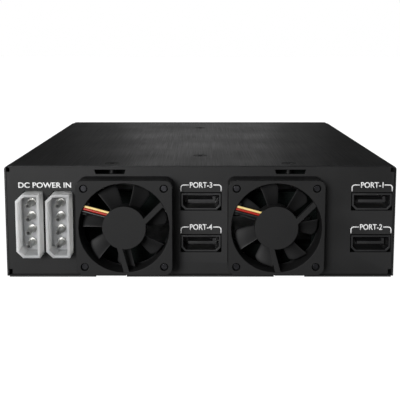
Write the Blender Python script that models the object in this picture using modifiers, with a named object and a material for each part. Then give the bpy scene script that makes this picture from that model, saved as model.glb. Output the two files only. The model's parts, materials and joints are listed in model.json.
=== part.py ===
"""Four-bay hot-swap drive enclosure for a 5.25 inch bay.

The fan and port panel faces -Y, the drive trays pull out towards +Y, and +Z is up.
The origin is under the middle of the enclosure, on the surface that it stands on.
A sheet-metal case holds a backplane board, two 35 mm fans outside its rear panel, four data
ports, two power inlets, and four trays, each with a latch lever and a release button.
"""

import math

import bmesh
import bpy
from mathutils import Matrix, Vector
from mathutils.geometry import delaunay_2d_cdt

MM = 0.001
GAP = 0.3 * MM  # between two pieces that rest on each other
SIDE_GAP = 0.06 * MM  # between the cover's side walls and the sheets that they close over

# Case
CASE_WIDTH = 146 * MM
CASE_HEIGHT = 42.3 * MM
SHEET = 0.8 * MM
BEND_RADIUS = 1.2 * MM
PANEL_SHEET = 1.0 * MM
FAN_FACE_Y = -87.7 * MM  # the enclosure's rearmost plane
FRONT_Y = 87.7 * MM
FAN_DEPTH = 10 * MM
PANEL_Y = FAN_FACE_Y + FAN_DEPTH + GAP  # outer face of the rear panel
PANEL_INNER_Y = PANEL_Y + PANEL_SHEET
FRAME_DEPTH = 5.7 * MM  # front frame
COVER_FRONT_Y = FRONT_Y - FRAME_DEPTH - GAP
SIDE_INNER_X = CASE_WIDTH / 2 - SHEET
SIDE_LIFT = 0.4 * MM  # the side walls stop this far above the base's underside
TAB_X = 33.6 * MM  # the notches and screw tabs along the rear edge
TAB_WIDTH = 11.6 * MM
TAB_DEPTH = 11 * MM

# Screws
COVER_HEAD_RADIUS = 2.7 * MM
COVER_SHANK_RADIUS = 1.4 * MM
COVER_SCREWS = [  # (x, distance from the rear panel)
    (-TAB_X, 7.5 * MM),
    (TAB_X, 7.5 * MM),
    (0, 28.5 * MM),
    (0, 134.5 * MM),
]
SIDE_HOLE_RADIUS = 1.5 * MM  # M3 bay fixing holes
SIDE_HOLE_Z = (10 * MM, 21.8 * MM)
SIDE_HOLE_Y = (FRONT_Y - 52.3 * MM, FRONT_Y - 131.6 * MM)
BASE_HOLE_X = 60.5 * MM

# Fans
FAN_SIZE = 35 * MM
FAN_X = 27.65 * MM
FAN_Z = CASE_HEIGHT / 2
FAN_BORE = 16.5 * MM
FAN_CORNER = 2.6 * MM
FAN_HOLE_OFFSET = 14.5 * MM
FAN_HOLE_RADIUS = 1.45 * MM
FAN_SCREW_RADIUS = 1.15 * MM
HUB_RADIUS = 8.0 * MM
STRUT_ANGLES = (45, 165, 285)  # degrees
LEAD_STRUT = 1  # the index of the strut that carries the lead
STRUT_OFFSETS = (3.57 * MM, 2.95 * MM, 3.57 * MM)  # how far from the axis each strut runs past
STRUT_WIDTH = 1.9 * MM
STRUT_FACE_Y = FAN_FACE_Y + 0.2 * MM
MOTOR_BASE_Y = FAN_FACE_Y + 2.4 * MM
ROTOR_OPEN_Y = FAN_FACE_Y + 3.0 * MM
ROTOR_CLOSED_Y = FAN_FACE_Y + 8.6 * MM
ROTOR_HUB_RADIUS = 7.8 * MM
BLADE_TIP_RADIUS = 15.8 * MM
BLADES = 7
BLADE_STARTS = {1: 11.5, 2: -5.3}  # degrees from +X to the first blade, on each fan
SHAFT_RADIUS = 0.75 * MM
LEAD_HALF_WIDTH = 1.5 * MM
LEAD_HALF_THICKNESS = 0.5 * MM
LEAD_Y = FAN_FACE_Y + 1.25 * MM
LEAD_BACK_Y = LEAD_Y + LEAD_HALF_THICKNESS + GAP  # what lies behind the lead starts here
LEAD_TURN = 17.0 * MM  # along the strut, where the lead turns into the case

# Backplane board and what stands on it
BOARD_Y = PANEL_Y + 13.7 * MM
BOARD_THICKNESS = 1.6 * MM
BOARD_FRONT_Y = BOARD_Y + BOARD_THICKNESS
BOARD_HALF_WIDTH = 71.3 * MM
BOARD_LOW_Z = 1.5 * MM
BOARD_HIGH_Z = 40.6 * MM
VENT_X = (11.5 * MM, 43.5 * MM)
VENT_ROWS = ((9.4 * MM, 20.4 * MM), (30.2 * MM, 36.2 * MM))

# Data ports
PORT_COLUMNS = (64.1 * MM, 0.3 * MM)  # ports 1 and 2, then ports 3 and 4
PORT_ROWS = (29.0 * MM, 13.0 * MM)
PORT_WIDTH = 14.8 * MM
PORT_HEIGHT = 6.3 * MM
PORT_CHAMFER = 1.5 * MM
PORT_WALL = 0.7 * MM
PORT_CAVITY_DEPTH = 9 * MM
TONGUE_WIDTH = 10.2 * MM
TONGUE_THICKNESS = 1.0 * MM

# Power inlets
INLET_X = (-63.45 * MM, -52.45 * MM)
INLET_Z = 20.8 * MM
INLET_WIDTH = 8.8 * MM
INLET_HEIGHT = 23.8 * MM
INLET_CHAMFER = 2.4 * MM
INLET_WALL = 1.0 * MM
INLET_RIM_Y = PANEL_Y - 6.2 * MM
INLET_FLOOR_Y = INLET_RIM_Y + 8.6 * MM
PIN_RADIUS = 1.05 * MM
PIN_PITCH = 5.08 * MM

# Drive bays and trays
BAY_X = 36.35 * MM
SHELF_Z = 20.8 * MM
DIVIDER = 1.0 * MM
BAYS = {  # bay number: (centre x, underside of its tray)
    1: (BAY_X, 22.1 * MM),
    2: (BAY_X, 1.4 * MM),
    3: (-BAY_X, 22.1 * MM),
    4: (-BAY_X, 1.4 * MM),
}
TRAY_WIDTH = 71.1 * MM
TRAY_SHEET = 0.5 * MM
TRAY_WALL = 13 * MM
TRAY_REAR_Y = BOARD_Y + 12 * MM
TRAY_FRONT_Y = FRONT_Y - 14 * MM  # back of the plastic tray front
TRAY_FACE_Y = FRONT_Y - 0.8 * MM
TRAY_FACE_HEIGHT = 18.8 * MM
SOCKET_FACE_Y = TRAY_REAR_Y - 2 * MM
DRIVE_HOLES = (14 * MM, 90.6 * MM)  # side fixing holes, from a drive's connector end
SOCKET_WIDTH = 42.7 * MM
SOCKET_HEIGHT = 5.2 * MM
SOCKET_LIFT = 2.0 * MM  # above the tray's underside
SOCKET_OFFSET = 8.8 * MM  # a drive's connector is off its centreline

# Latch lever and release button, measured from the tray's centre
PIVOT_X = 32 * MM
PIVOT_Y = FRONT_Y - 3 * MM
LEVER_HALF_DEPTH = 2.0 * MM
LEVER_END_X = -20 * MM
LEVER_HEIGHT = 12.4 * MM
STUB_RADIUS = 1.0 * MM
STUB_LENGTH = 1.8 * MM
BUTTON_X = -27.5 * MM
BUTTON_HALF = 4.0 * MM

# Filling an outline
FILL_TRIANGLES = 1  # the triangles inside the outermost loop
FILL_MERGE = 1e-5

PARTS = None
CUTTERS = None


def clear_scene():
    for obj in list(bpy.data.objects):
        bpy.data.objects.remove(obj)


def new_collection(name):
    made = bpy.data.collections.new(name)
    bpy.context.scene.collection.children.link(made)
    return made


def material(name, colour, roughness, metallic=0.0):
    made = bpy.data.materials.new(name)
    made.use_nodes = True
    shader = made.node_tree.nodes["Principled BSDF"]
    shader.inputs["Base Color"].default_value = (*colour, 1)
    shader.inputs["Roughness"].default_value = roughness
    shader.inputs["Metallic"].default_value = metallic
    return made


# ---------------------------------------------------------------- shapes


def add_object(name, data, finish):
    """An object in the parts' collection, or in the cutters' where it has no finish."""
    obj = bpy.data.objects.new(name, data)
    (PARTS if finish else CUTTERS).objects.link(obj)
    if finish:
        data.materials.append(finish)
    else:
        obj.hide_render = True
        obj.display_type = "WIRE"
    return obj


def mesh_object(name, bm, finish=None):
    mesh = bpy.data.meshes.new(name)
    bmesh.ops.recalc_face_normals(bm, faces=bm.faces)
    bm.to_mesh(mesh)
    bm.free()
    return add_object(name, mesh, finish)


def box(name, low, high, finish=None):
    low, high = Vector(low), Vector(high)
    bm = bmesh.new()
    bmesh.ops.create_cube(bm, size=1)
    bmesh.ops.scale(bm, vec=high - low, verts=bm.verts)
    bmesh.ops.translate(bm, vec=(high + low) / 2, verts=bm.verts)
    return mesh_object(name, bm, finish)


def cone_between(name, start, end, radius, end_radius, segments, finish=None):
    """A cylinder or a cone frustum along the line from start to end."""
    start, end = Vector(start), Vector(end)
    along = end - start
    place = Matrix.Translation((start + end) / 2)
    place @= along.to_track_quat("Z", "Y").to_matrix().to_4x4()
    bm = bmesh.new()
    bmesh.ops.create_cone(
        bm, cap_ends=True, segments=segments, radius1=radius,
        radius2=end_radius, depth=along.length, matrix=place,
    )
    return mesh_object(name, bm, finish)


def rod(name, start, end, radius, segments=20, finish=None):
    return cone_between(name, start, end, radius, radius, segments, finish)


def arc(centre, radius, start, end, steps):
    """Points on a circle, from start to end in degrees."""
    turn = [math.radians(start + (end - start) * i / steps) for i in range(steps + 1)]
    return [(centre[0] + radius * math.cos(a), centre[1] + radius * math.sin(a)) for a in turn]


def circle(centre, radius, steps=24):
    return arc(centre, radius, 0, 360, steps)[:-1]


def rectangle(low, high):
    return [low, (high[0], low[1]), high, (low[0], high[1])]


def rounded_rectangle(low, high, radius, steps=4):
    corners = (
        (high[0] - radius, high[1] - radius, 0),
        (low[0] + radius, high[1] - radius, 90),
        (low[0] + radius, low[1] + radius, 180),
        (high[0] - radius, low[1] + radius, 270),
    )
    return [p for x, z, a in corners for p in arc((x, z), radius, a, a + 90, steps)]


def is_inside(loop, x, z):
    """Whether the point lies inside the loop: a ray from it crosses the loop an odd number of times."""
    crossings = 0
    for (x1, z1), (x2, z2) in zip(loop, loop[1:] + loop[:1]):
        if (z1 > z) != (z2 > z):
            crossings += x < x1 + (z - z1) * (x2 - x1) / (z2 - z1)
    return crossings % 2 == 1


def slab(name, loops, y_range, finish=None):
    """A plate that stands across Y: the first loop is its outline in (x, z), the rest are holes."""
    points, edges = [], []
    for loop in loops:
        first = len(points)
        points += [Vector((x / MM, z / MM)) for x, z in loop]
        edges += [(first + i, first + (i + 1) % len(loop)) for i in range(len(loop))]
    flat = delaunay_2d_cdt(points, edges, [], FILL_TRIANGLES, FILL_MERGE)
    bm = bmesh.new()
    verts = [bm.verts.new((point.x * MM, y_range[0], point.y * MM)) for point in flat[0]]
    faces = []
    for corners in flat[2]:
        face = bm.faces.new([verts[i] for i in corners])
        middle = face.calc_center_median()
        if any(is_inside(hole, middle.x, middle.z) for hole in loops[1:]):
            bm.faces.remove(face)
        else:
            faces.append(face)
    loose = [edge for edge in bm.edges if not edge.link_faces]
    bmesh.ops.delete(bm, geom=loose, context="EDGES")
    grown = bmesh.ops.extrude_face_region(bm, geom=faces, use_keep_orig=True)
    far = [item for item in grown["geom"] if isinstance(item, bmesh.types.BMVert)]
    bmesh.ops.translate(bm, vec=(0, y_range[1] - y_range[0], 0), verts=far)
    return mesh_object(name, bm, finish)


def turned(name, profile, centre, segments, finish=None):
    """A shape turned about an axis along Y through centre, from (radius, y) points.

    The profile runs down its outer side, from high y to low y, and back up its inner side.
    """
    bm = bmesh.new()
    verts = [bm.verts.new((radius, 0, y)) for radius, y in profile]
    for a, b in zip(verts, verts[1:] + verts[:1]):
        if a.co.x > 0 or b.co.x > 0:  # no edge along the axis
            bm.edges.new((a, b))
    obj = mesh_object(name, bm, finish)
    screw = obj.modifiers.new("turn", "SCREW")
    screw.steps = screw.render_steps = segments
    screw.use_merge_vertices = True
    screw.merge_threshold = 1e-6
    # The axis, which the modifier takes as Z, is laid along Y.
    obj.matrix_world = Matrix.Translation(centre) @ Matrix.Rotation(math.radians(-90), 4, "X")
    return obj


def boolean(obj, others, operation):
    for other in others:
        modifier = obj.modifiers.new(operation.lower(), "BOOLEAN")
        modifier.operation = operation
        modifier.object = other
    return obj


def cut(obj, *cutters):
    return boolean(obj, cutters, "DIFFERENCE")


def join(obj, *pieces):
    return boolean(obj, pieces, "UNION")


# ---------------------------------------------------------------- case


def channel_outline(half_width, low, high, sheet, bend):
    """The section of a sheet folded to three sides, with its open side towards low."""
    inner = bend - sheet
    outer_left = arc((-half_width + bend, high - bend), bend, 180, 90, 4)
    outer_right = arc((half_width - bend, high - bend), bend, 90, 0, 4)
    inner_right = arc((half_width - bend, high - bend), inner, 0, 90, 3)
    inner_left = arc((-half_width + bend, high - bend), inner, 90, 180, 3)
    return [
        (-half_width, low), *outer_left, *outer_right, (half_width, low),
        (half_width - sheet, low), *inner_right, *inner_left, (-half_width + sheet, low),
    ]


def make_top_cover(finish):
    outline = channel_outline(CASE_WIDTH / 2, SIDE_LIFT, CASE_HEIGHT, SHEET, BEND_RADIUS)
    cover = slab("top_cover", [outline], (PANEL_Y, COVER_FRONT_Y), finish)
    # The top stops behind the rear panel, and the sides run on past it.
    relief = box(
        "cover_relief",
        (-SIDE_INNER_X, PANEL_Y - MM, CASE_HEIGHT - 2 * BEND_RADIUS),
        (SIDE_INNER_X, PANEL_INNER_Y + GAP, CASE_HEIGHT + MM),
    )
    cut(cover, relief)
    for index, (x, back) in enumerate(COVER_SCREWS):
        y = PANEL_Y + back
        sink = cone_between(
            f"cover_sink_{index}", (x, y, CASE_HEIGHT - 1.5 * MM), (x, y, CASE_HEIGHT + 0.1 * MM),
            COVER_SHANK_RADIUS + 0.15 * MM, COVER_HEAD_RADIUS + 0.2 * MM, 16,
        )
        cut(cover, sink)
    for side in (-1, 1):
        for y in SIDE_HOLE_Y:
            for z in SIDE_HOLE_Z:
                hole = rod(
                    "side_hole", (side * (SIDE_INNER_X - MM), y, z),
                    (side * (CASE_WIDTH / 2 + MM), y, z), SIDE_HOLE_RADIUS, 12,
                )
                cut(cover, hole)


def make_base(finish):
    half = SIDE_INNER_X - SIDE_GAP
    base = box("chassis_base", (-half, PANEL_Y, 0), (half, COVER_FRONT_Y, SHEET), finish)
    for side in (-1, 1):
        x = side * TAB_X
        notch = box(
            "base_notch", (x - TAB_WIDTH / 2, PANEL_Y - MM, -MM),
            (x + TAB_WIDTH / 2, PANEL_Y + 3 * MM, MM),
        )
        cut(base, notch)
        for y in SIDE_HOLE_Y:
            at = (side * BASE_HOLE_X, y)
            cut(base, rod("base_hole", (*at, -MM), (*at, 2 * MM), SIDE_HOLE_RADIUS, 12))


def fan_axis(side):
    return Vector((side * FAN_X, 0, FAN_Z))


def strut_frame(side, index):
    """A strut's direction, the direction across it, and the point of its line nearest the axis."""
    a = math.radians(STRUT_ANGLES[index])
    along, across = Vector((math.cos(a), 0, math.sin(a))), Vector((-math.sin(a), 0, math.cos(a)))
    return along, across, fan_axis(side) - across * STRUT_OFFSETS[index]


def strut_outline(side, index, low, high, half_width):
    """The corners, in (x, z), of a bar that runs from low to high along a strut's line."""
    along, across, middle = strut_frame(side, index)
    corners = ((low, -half_width), (high, -half_width), (high, half_width), (low, half_width))
    points = [middle + along * u + across * t for u, t in corners]
    return [(p.x, p.z) for p in points]


def inlet_outline(x, grow=0.0):
    """A power inlet's outline in (x, z): a rectangle with both corners of its -X side cut off."""
    half_w, half_h = INLET_WIDTH / 2 + grow, INLET_HEIGHT / 2 + grow
    c = INLET_CHAMFER + 0.4 * grow
    return [
        (x + half_w, INLET_Z - half_h), (x + half_w, INLET_Z + half_h),
        (x - half_w + c, INLET_Z + half_h), (x - half_w, INLET_Z + half_h - c),
        (x - half_w, INLET_Z - half_h + c), (x - half_w + c, INLET_Z - half_h),
    ]


def port_outline(x, z, inset):
    """A data port's outline in (x, z): a rectangle with both lower corners cut off."""
    w, h = PORT_WIDTH / 2 - inset, PORT_HEIGHT / 2 - inset
    c = PORT_CHAMFER - 0.4 * inset
    return [
        (x + w, z + h), (x - w, z + h), (x - w, z - h + c), (x - w + c, z - h),
        (x + w - c, z - h), (x + w, z - h + c),
    ]


def port_places():
    """{port number: (x, z)}"""
    return {1 + r + 2 * c: (x, z) for c, x in enumerate(PORT_COLUMNS) for r, z in enumerate(PORT_ROWS)}


def panel_outline():
    """The rear panel's edge: notched corners, and a tongue down into each notch of the base."""
    half, low, high = SIDE_INNER_X - SIDE_GAP, SHEET + GAP, CASE_HEIGHT - 0.2 * MM
    wide, tall = 1.2 * MM, 1.9 * MM
    tongue_left, tongue_right = TAB_X - TAB_WIDTH / 2 + GAP, TAB_X + TAB_WIDTH / 2 - GAP
    right = [
        (tongue_left, low), (tongue_left, SIDE_LIFT), (tongue_right, SIDE_LIFT), (tongue_right, low),
        (half - wide, low), (half - wide, low + tall), (half, low + tall),
        (half, high - tall), (half - wide, high - tall), (half - wide, high),
    ]
    return right + [(-x, z) for x, z in reversed(right)]


def make_rear_panel(finish):
    loops = [panel_outline()]
    slot_low, slot_high = CASE_HEIGHT - 2.9 * MM, CASE_HEIGHT - 1.3 * MM
    for side in (-1, 1):
        axis = fan_axis(side)
        loops.append(circle((axis.x, axis.z), FAN_BORE, 40))
        for sx in (-1, 1):
            for sz in (-1, 1):
                at = (axis.x + sx * FAN_HOLE_OFFSET, axis.z + sz * FAN_HOLE_OFFSET)
                loops.append(circle(at, FAN_HOLE_RADIUS, 10))
        x = side * TAB_X
        loops.append([
            (x - TAB_WIDTH / 2 + 0.5 * MM, slot_low), (x + TAB_WIDTH / 2 - 0.5 * MM, slot_low),
            (x + TAB_WIDTH / 2, slot_high), (x - TAB_WIDTH / 2, slot_high),
        ])
    for x, z in port_places().values():
        w, h = PORT_WIDTH / 2 + GAP, PORT_HEIGHT / 2 + GAP
        loops.append(rectangle((x - w, z - h), (x + w, z + h)))
    loops += [inlet_outline(x, GAP) for x in INLET_X]
    panel = slab("rear_panel", loops, (PANEL_Y, PANEL_INNER_Y), finish)
    for side in (-1, 1):
        outline = strut_outline(side, LEAD_STRUT, 14 * MM, 18 * MM,
                                LEAD_HALF_WIDTH + 0.35 * MM)
        notch = slab("panel_lead_notch", [outline], (PANEL_Y - MM, PANEL_INNER_Y + MM))
        cut(panel, notch)
        # A screw tab folded in under the cover, above the slot that it was cut free by.
        top = CASE_HEIGHT - SHEET - GAP
        tab = box(
            "panel_tab", (side * TAB_X - TAB_WIDTH / 2, PANEL_Y + 0.4 * MM, slot_high),
            (side * TAB_X + TAB_WIDTH / 2, PANEL_Y + TAB_DEPTH, top),
        )
        y = PANEL_Y + COVER_SCREWS[0][1]
        clear = rod("tab_hole", (side * TAB_X, y, top - 4 * MM), (side * TAB_X, y, top + MM),
                    COVER_SHANK_RADIUS + 0.2 * MM, 12)
        cut(join(panel, tab), clear)


def make_divider(finish):
    half = DIVIDER / 2
    top = CASE_HEIGHT - SHEET - GAP
    divider = box(
        "centre_divider", (-half, BOARD_FRONT_Y + GAP, SHEET + GAP), (half, COVER_FRONT_Y, top), finish
    )
    for x, back in COVER_SCREWS[2:]:
        y = PANEL_Y + back
        ear = box("divider_ear", (-4 * MM, y - 4 * MM, top - SHEET), (4 * MM, y + 4 * MM, top))
        clear = rod("ear_hole", (0, y, top - 6 * MM), (0, y, top + MM),
                    COVER_SHANK_RADIUS + 0.2 * MM, 12)
        cut(join(divider, ear), clear)


def make_shelves(finish):
    """One shelf on each side of the divider, with a lip turned up at its rear end."""
    inner, outer = DIVIDER / 2 + GAP, SIDE_INNER_X - GAP
    for name, side in (("bay_shelf_left", -1), ("bay_shelf_right", 1)):
        x_low, x_high = sorted((side * inner, side * outer))
        rear = TRAY_REAR_Y
        shelf = box(name, (x_low, rear, SHELF_Z), (x_high, COVER_FRONT_Y, SHELF_Z + SHEET), finish)
        lip = box("shelf_lip", (x_low, rear - SHEET, SHELF_Z - 1.5 * MM),
                  (x_high, rear + 0.2 * MM, SHELF_Z + SHEET))
        join(shelf, lip)


def make_front_frame(finish):
    half, edge = CASE_WIDTH / 2, 0.95 * MM
    inner, outer = DIVIDER / 2 + 0.15 * MM, half - edge
    rows = ((edge + 0.1 * MM, SHELF_Z - 0.15 * MM), (SHELF_Z + SHEET + 0.15 * MM, CASE_HEIGHT - edge))
    loops = [rounded_rectangle((-half, 0), (half, CASE_HEIGHT), 2.0 * MM)]
    for low, high in rows:
        loops.append(rectangle((inner, low), (outer, high)))
        loops.append(rectangle((-outer, low), (-inner, high)))
    slab("front_frame", loops, (FRONT_Y - FRAME_DEPTH, FRONT_Y), finish)


# ---------------------------------------------------------------- screws


def make_cover_screws(finish):
    """Countersunk screws, their heads just under the cover's surface, with a hex recess."""
    head_top = CASE_HEIGHT - 0.05 * MM
    for index, (x, back) in enumerate(COVER_SCREWS, 1):
        y = PANEL_Y + back
        screw = rod(f"cover_screw_{index}", (x, y, head_top - 5 * MM), (x, y, head_top - 0.8 * MM),
                    COVER_SHANK_RADIUS - 0.1 * MM, 12, finish)
        head = cone_between(f"cover_head_{index}", (x, y, head_top - 1.25 * MM), (x, y, head_top),
                            COVER_SHANK_RADIUS - 0.1 * MM, COVER_HEAD_RADIUS, 16)
        recess = rod(f"cover_recess_{index}", (x, y, head_top - 0.7 * MM), (x, y, head_top + MM),
                     1.0 * MM, 6)
        cut(join(screw, head), recess)


def make_fan_screws(finish):
    """Driven from inside the case, through the panel and into the fans' corner holes."""
    index = 0
    head_y = PANEL_INNER_Y + GAP
    for side in (-1, 1):
        for sx in (-1, 1):
            for sz in (-1, 1):
                index += 1
                at = fan_axis(side) + Vector((sx, 0, sz)) * FAN_HOLE_OFFSET
                screw = rod(f"fan_screw_{index}", (at.x, head_y + 0.5 * MM, at.z),
                            (at.x, FAN_FACE_Y + 0.7 * MM, at.z), FAN_SCREW_RADIUS, 10, finish)
                head = rod(f"fan_head_{index}", (at.x, head_y, at.z),
                           (at.x, head_y + 1.4 * MM, at.z), 2.3 * MM, 12)
                join(screw, head)


# ---------------------------------------------------------------- fans


def make_fan_frame(number, side, finish):
    axis = fan_axis(side)
    half = FAN_SIZE / 2
    loops = [
        rounded_rectangle((axis.x - half, axis.z - half), (axis.x + half, axis.z + half), FAN_CORNER),
        circle((axis.x, axis.z), FAN_BORE, 40),
    ]
    for sx in (-1, 1):
        for sz in (-1, 1):
            at = (axis.x + sx * FAN_HOLE_OFFSET, axis.z + sz * FAN_HOLE_OFFSET)
            loops.append(circle(at, FAN_HOLE_RADIUS, 12))
    frame = slab(f"fan_frame_{number}", loops, (FAN_FACE_Y, FAN_FACE_Y + FAN_DEPTH), finish)
    # The motor's base: a disc and the tube that holds the bearing.
    tube_y = ROTOR_CLOSED_Y - 1.4 * MM
    base = turned(f"fan_base_{number}", [
        (3.1 * MM, tube_y), (3.1 * MM, MOTOR_BASE_Y), (HUB_RADIUS, MOTOR_BASE_Y),
        (HUB_RADIUS, STRUT_FACE_Y), (0.0, STRUT_FACE_Y), (0.0, MOTOR_BASE_Y),
        (2.35 * MM, MOTOR_BASE_Y), (2.35 * MM, tube_y),
    ], axis, 32)
    join(frame, base)
    for index in range(len(STRUT_ANGLES)):
        if index == LEAD_STRUT:
            # This strut is a thin one behind the lead, with a foot that reaches past the lead's slot.
            outline = strut_outline(side, index, 6 * MM, 17.4 * MM, LEAD_HALF_WIDTH - 0.2 * MM)
            foot = strut_outline(side, index, 14.4 * MM, 17.4 * MM, LEAD_HALF_WIDTH + 0.9 * MM)
            depth = (LEAD_BACK_Y, LEAD_BACK_Y + 0.8 * MM)
            foot_depth = (LEAD_BACK_Y - 0.01 * MM, LEAD_BACK_Y + 0.9 * MM)
            join(frame, slab(f"fan_strut_foot_{number}", [foot], foot_depth))
        else:
            outline = strut_outline(side, index, 6 * MM, 16.7 * MM, STRUT_WIDTH / 2)
            depth = (STRUT_FACE_Y, MOTOR_BASE_Y - 0.1 * MM)
        join(frame, slab(f"fan_strut_{number}_{index}", [outline], depth))
    # The lead comes out of the base, dives under a thin rim, and runs down a slot in the bore.
    half = LEAD_HALF_WIDTH + 0.35 * MM
    mouth = slab("hub_lead_mouth", [strut_outline(side, LEAD_STRUT, 3.8 * MM, 9 * MM, half)],
                 (STRUT_FACE_Y + 0.35 * MM, LEAD_BACK_Y))
    channel = slab("rim_lead_channel", [strut_outline(side, LEAD_STRUT, 14 * MM, 17.8 * MM, half)],
                   (FAN_FACE_Y + 0.45 * MM, LEAD_BACK_Y))
    slot = slab("bore_lead_slot", [strut_outline(side, LEAD_STRUT, 16.2 * MM, 17.8 * MM, half)],
                (LEAD_BACK_Y - 0.5 * MM, FAN_FACE_Y + FAN_DEPTH + MM))
    cut(frame, mouth, channel, slot)


def blade(number, index, axis):
    """One twisted, cambered blade, from inside the rotor's hub to its tip."""
    bm = bmesh.new()
    bmesh.ops.create_grid(bm, x_segments=4, y_segments=4, size=1)
    start = math.radians(360 * index / BLADES + BLADE_STARTS[number])
    middle_y = (ROTOR_OPEN_Y + ROTOR_CLOSED_Y) / 2
    for vert in bm.verts:
        chord, out = vert.co.x, (vert.co.y + 1) / 2  # -1 to 1 along the chord, 0 to 1 outwards
        radius = (ROTOR_HUB_RADIUS - 0.5 * MM) * (1 - out) + BLADE_TIP_RADIUS * out
        spread = math.radians(15 - 1.8 * out)  # half the blade's angle about the axis
        sweep = math.radians(1.5) * out * out
        angle = start + chord * spread + sweep
        y = middle_y - chord * (2.45 - 0.5 * out) * MM + 0.5 * MM * (1 - chord * chord)
        vert.co = (axis.x + radius * math.cos(angle), y, axis.z + radius * math.sin(angle))
    obj = mesh_object(f"blade_{number}_{index}", bm)
    solidify = obj.modifiers.new("thickness", "SOLIDIFY")
    solidify.thickness = 0.6 * MM
    solidify.offset = 0
    return obj


def make_fan_rotor(number, side, finish):
    """A cup, open towards the motor's base, with seven blades, its origin on the fan's axis."""
    axis = fan_axis(side)
    skin = 1.0 * MM
    inner_y = ROTOR_CLOSED_Y - skin
    rotor = turned(f"fan_rotor_{number}", [
        (0.0, ROTOR_CLOSED_Y), (ROTOR_HUB_RADIUS, ROTOR_CLOSED_Y), (ROTOR_HUB_RADIUS, ROTOR_OPEN_Y),
        (ROTOR_HUB_RADIUS - skin, ROTOR_OPEN_Y), (ROTOR_HUB_RADIUS - skin, inner_y),
        (SHAFT_RADIUS + 0.05 * MM, inner_y), (SHAFT_RADIUS + 0.05 * MM, inner_y + 0.7 * MM),
        (0.0, inner_y + 0.7 * MM),
    ], axis, 28, finish)
    for index in range(BLADES):
        join(rotor, blade(number, index, axis))
    return rotor


def make_fan_motor(number, side, steel, brass, copper):
    axis = fan_axis(side)
    shaft_end = ROTOR_CLOSED_Y - 0.4 * MM
    rod(f"fan_shaft_{number}", axis + Vector((0, MOTOR_BASE_Y + 0.2 * MM, 0)),
        axis + Vector((0, shaft_end, 0)), SHAFT_RADIUS, 12, steel)
    low, high = MOTOR_BASE_Y + GAP, ROTOR_CLOSED_Y - 1.6 * MM
    turned(f"fan_bearing_{number}", [
        (2.1 * MM, high), (2.1 * MM, low), (0.85 * MM, low), (0.85 * MM, high),
    ], axis, 16, brass)
    low, high = MOTOR_BASE_Y + GAP, ROTOR_CLOSED_Y - 2.0 * MM
    stator = turned(f"fan_stator_{number}", [
        (6.2 * MM, high), (6.2 * MM, low), (3.4 * MM, low), (3.4 * MM, high),
    ], axis, 20, copper)
    # Four slots part the stator's poles.
    for turn in (0, 90):
        a = math.radians(turn + 45)
        out = Vector((math.cos(a), 0, math.sin(a)))
        for sign in (-1, 1):
            slot = rod("stator_slot", axis + sign * out * 6.4 * MM + Vector((0, low - MM, 0)),
                       axis + sign * out * 6.4 * MM + Vector((0, high + MM, 0)), 1.3 * MM, 8)
            cut(stator, slot)


def make_fan_lead(number, side, finish):
    """A flat three-wire lead, from under the motor's base along its strut and on to the board."""
    along, across, middle = strut_frame(side, LEAD_STRUT)
    start, end = 4.3 * MM, BOARD_Y - GAP
    half, bend = LEAD_HALF_THICKNESS, 1.0 * MM
    centre = (LEAD_TURN - bend, LEAD_Y + bend)
    outline = [
        (start, LEAD_Y - half), *arc(centre, bend + half, -90, 0, 5), (LEAD_TURN + half, end),
        (LEAD_TURN - half, end), *arc(centre, bend - half, 0, -90, 3), (start, LEAD_Y + half),
    ]
    edge = middle - across * LEAD_HALF_WIDTH
    bm = bmesh.new()
    verts = [bm.verts.new(edge + along * u + Vector((0, y, 0))) for u, y in outline]
    grown = bmesh.ops.extrude_face_region(bm, geom=[bm.faces.new(verts)], use_keep_orig=True)
    far = [item for item in grown["geom"] if isinstance(item, bmesh.types.BMVert)]
    bmesh.ops.translate(bm, vec=across * 2 * LEAD_HALF_WIDTH, verts=far)
    mesh_object(f"fan_lead_{number}", bm, finish)


# ---------------------------------------------------------------- board and connectors


def make_board(finish):
    loops = [rectangle((-BOARD_HALF_WIDTH, BOARD_LOW_Z), (BOARD_HALF_WIDTH, BOARD_HIGH_Z))]
    for low, high in VENT_ROWS:
        loops.append(rectangle((VENT_X[0], low), (VENT_X[1], high)))
        loops.append(rectangle((-VENT_X[1], low), (-VENT_X[0], high)))
    slab("backplane_board", loops, (BOARD_Y, BOARD_FRONT_Y), finish)


def make_drive_sockets(finish):
    """The 22-contact sockets that the drives plug into, one behind each bay."""
    back, face = BOARD_FRONT_Y + GAP, SOCKET_FACE_Y
    for number, (bay_x, tray_z) in BAYS.items():
        x, z = bay_x - SOCKET_OFFSET, tray_z + SOCKET_LIFT
        half = SOCKET_WIDTH / 2
        socket = box(f"drive_socket_{number}", (x - half, back, z),
                     (x + half, face, z + SOCKET_HEIGHT), finish)
        # Two L-shaped slots: a long one for power and a short one for data.
        for start, end, key in ((-18.6 * MM, 2.2 * MM, 2.2 * MM), (5 * MM, 16.4 * MM, 5 * MM)):
            z_mid = z + SOCKET_HEIGHT / 2
            slot = box("socket_slot", (x + start, face - 6 * MM, z_mid - 0.7 * MM),
                       (x + end, face + MM, z_mid + 0.7 * MM))
            leg = sorted((x + key, x + key + (1.4 * MM if key == start else -1.4 * MM)))
            notch = box("socket_key", (leg[0], face - 6 * MM, z_mid - 0.7 * MM),
                        (leg[1], face + MM, z_mid + 1.7 * MM))
            cut(socket, slot, notch)


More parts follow.
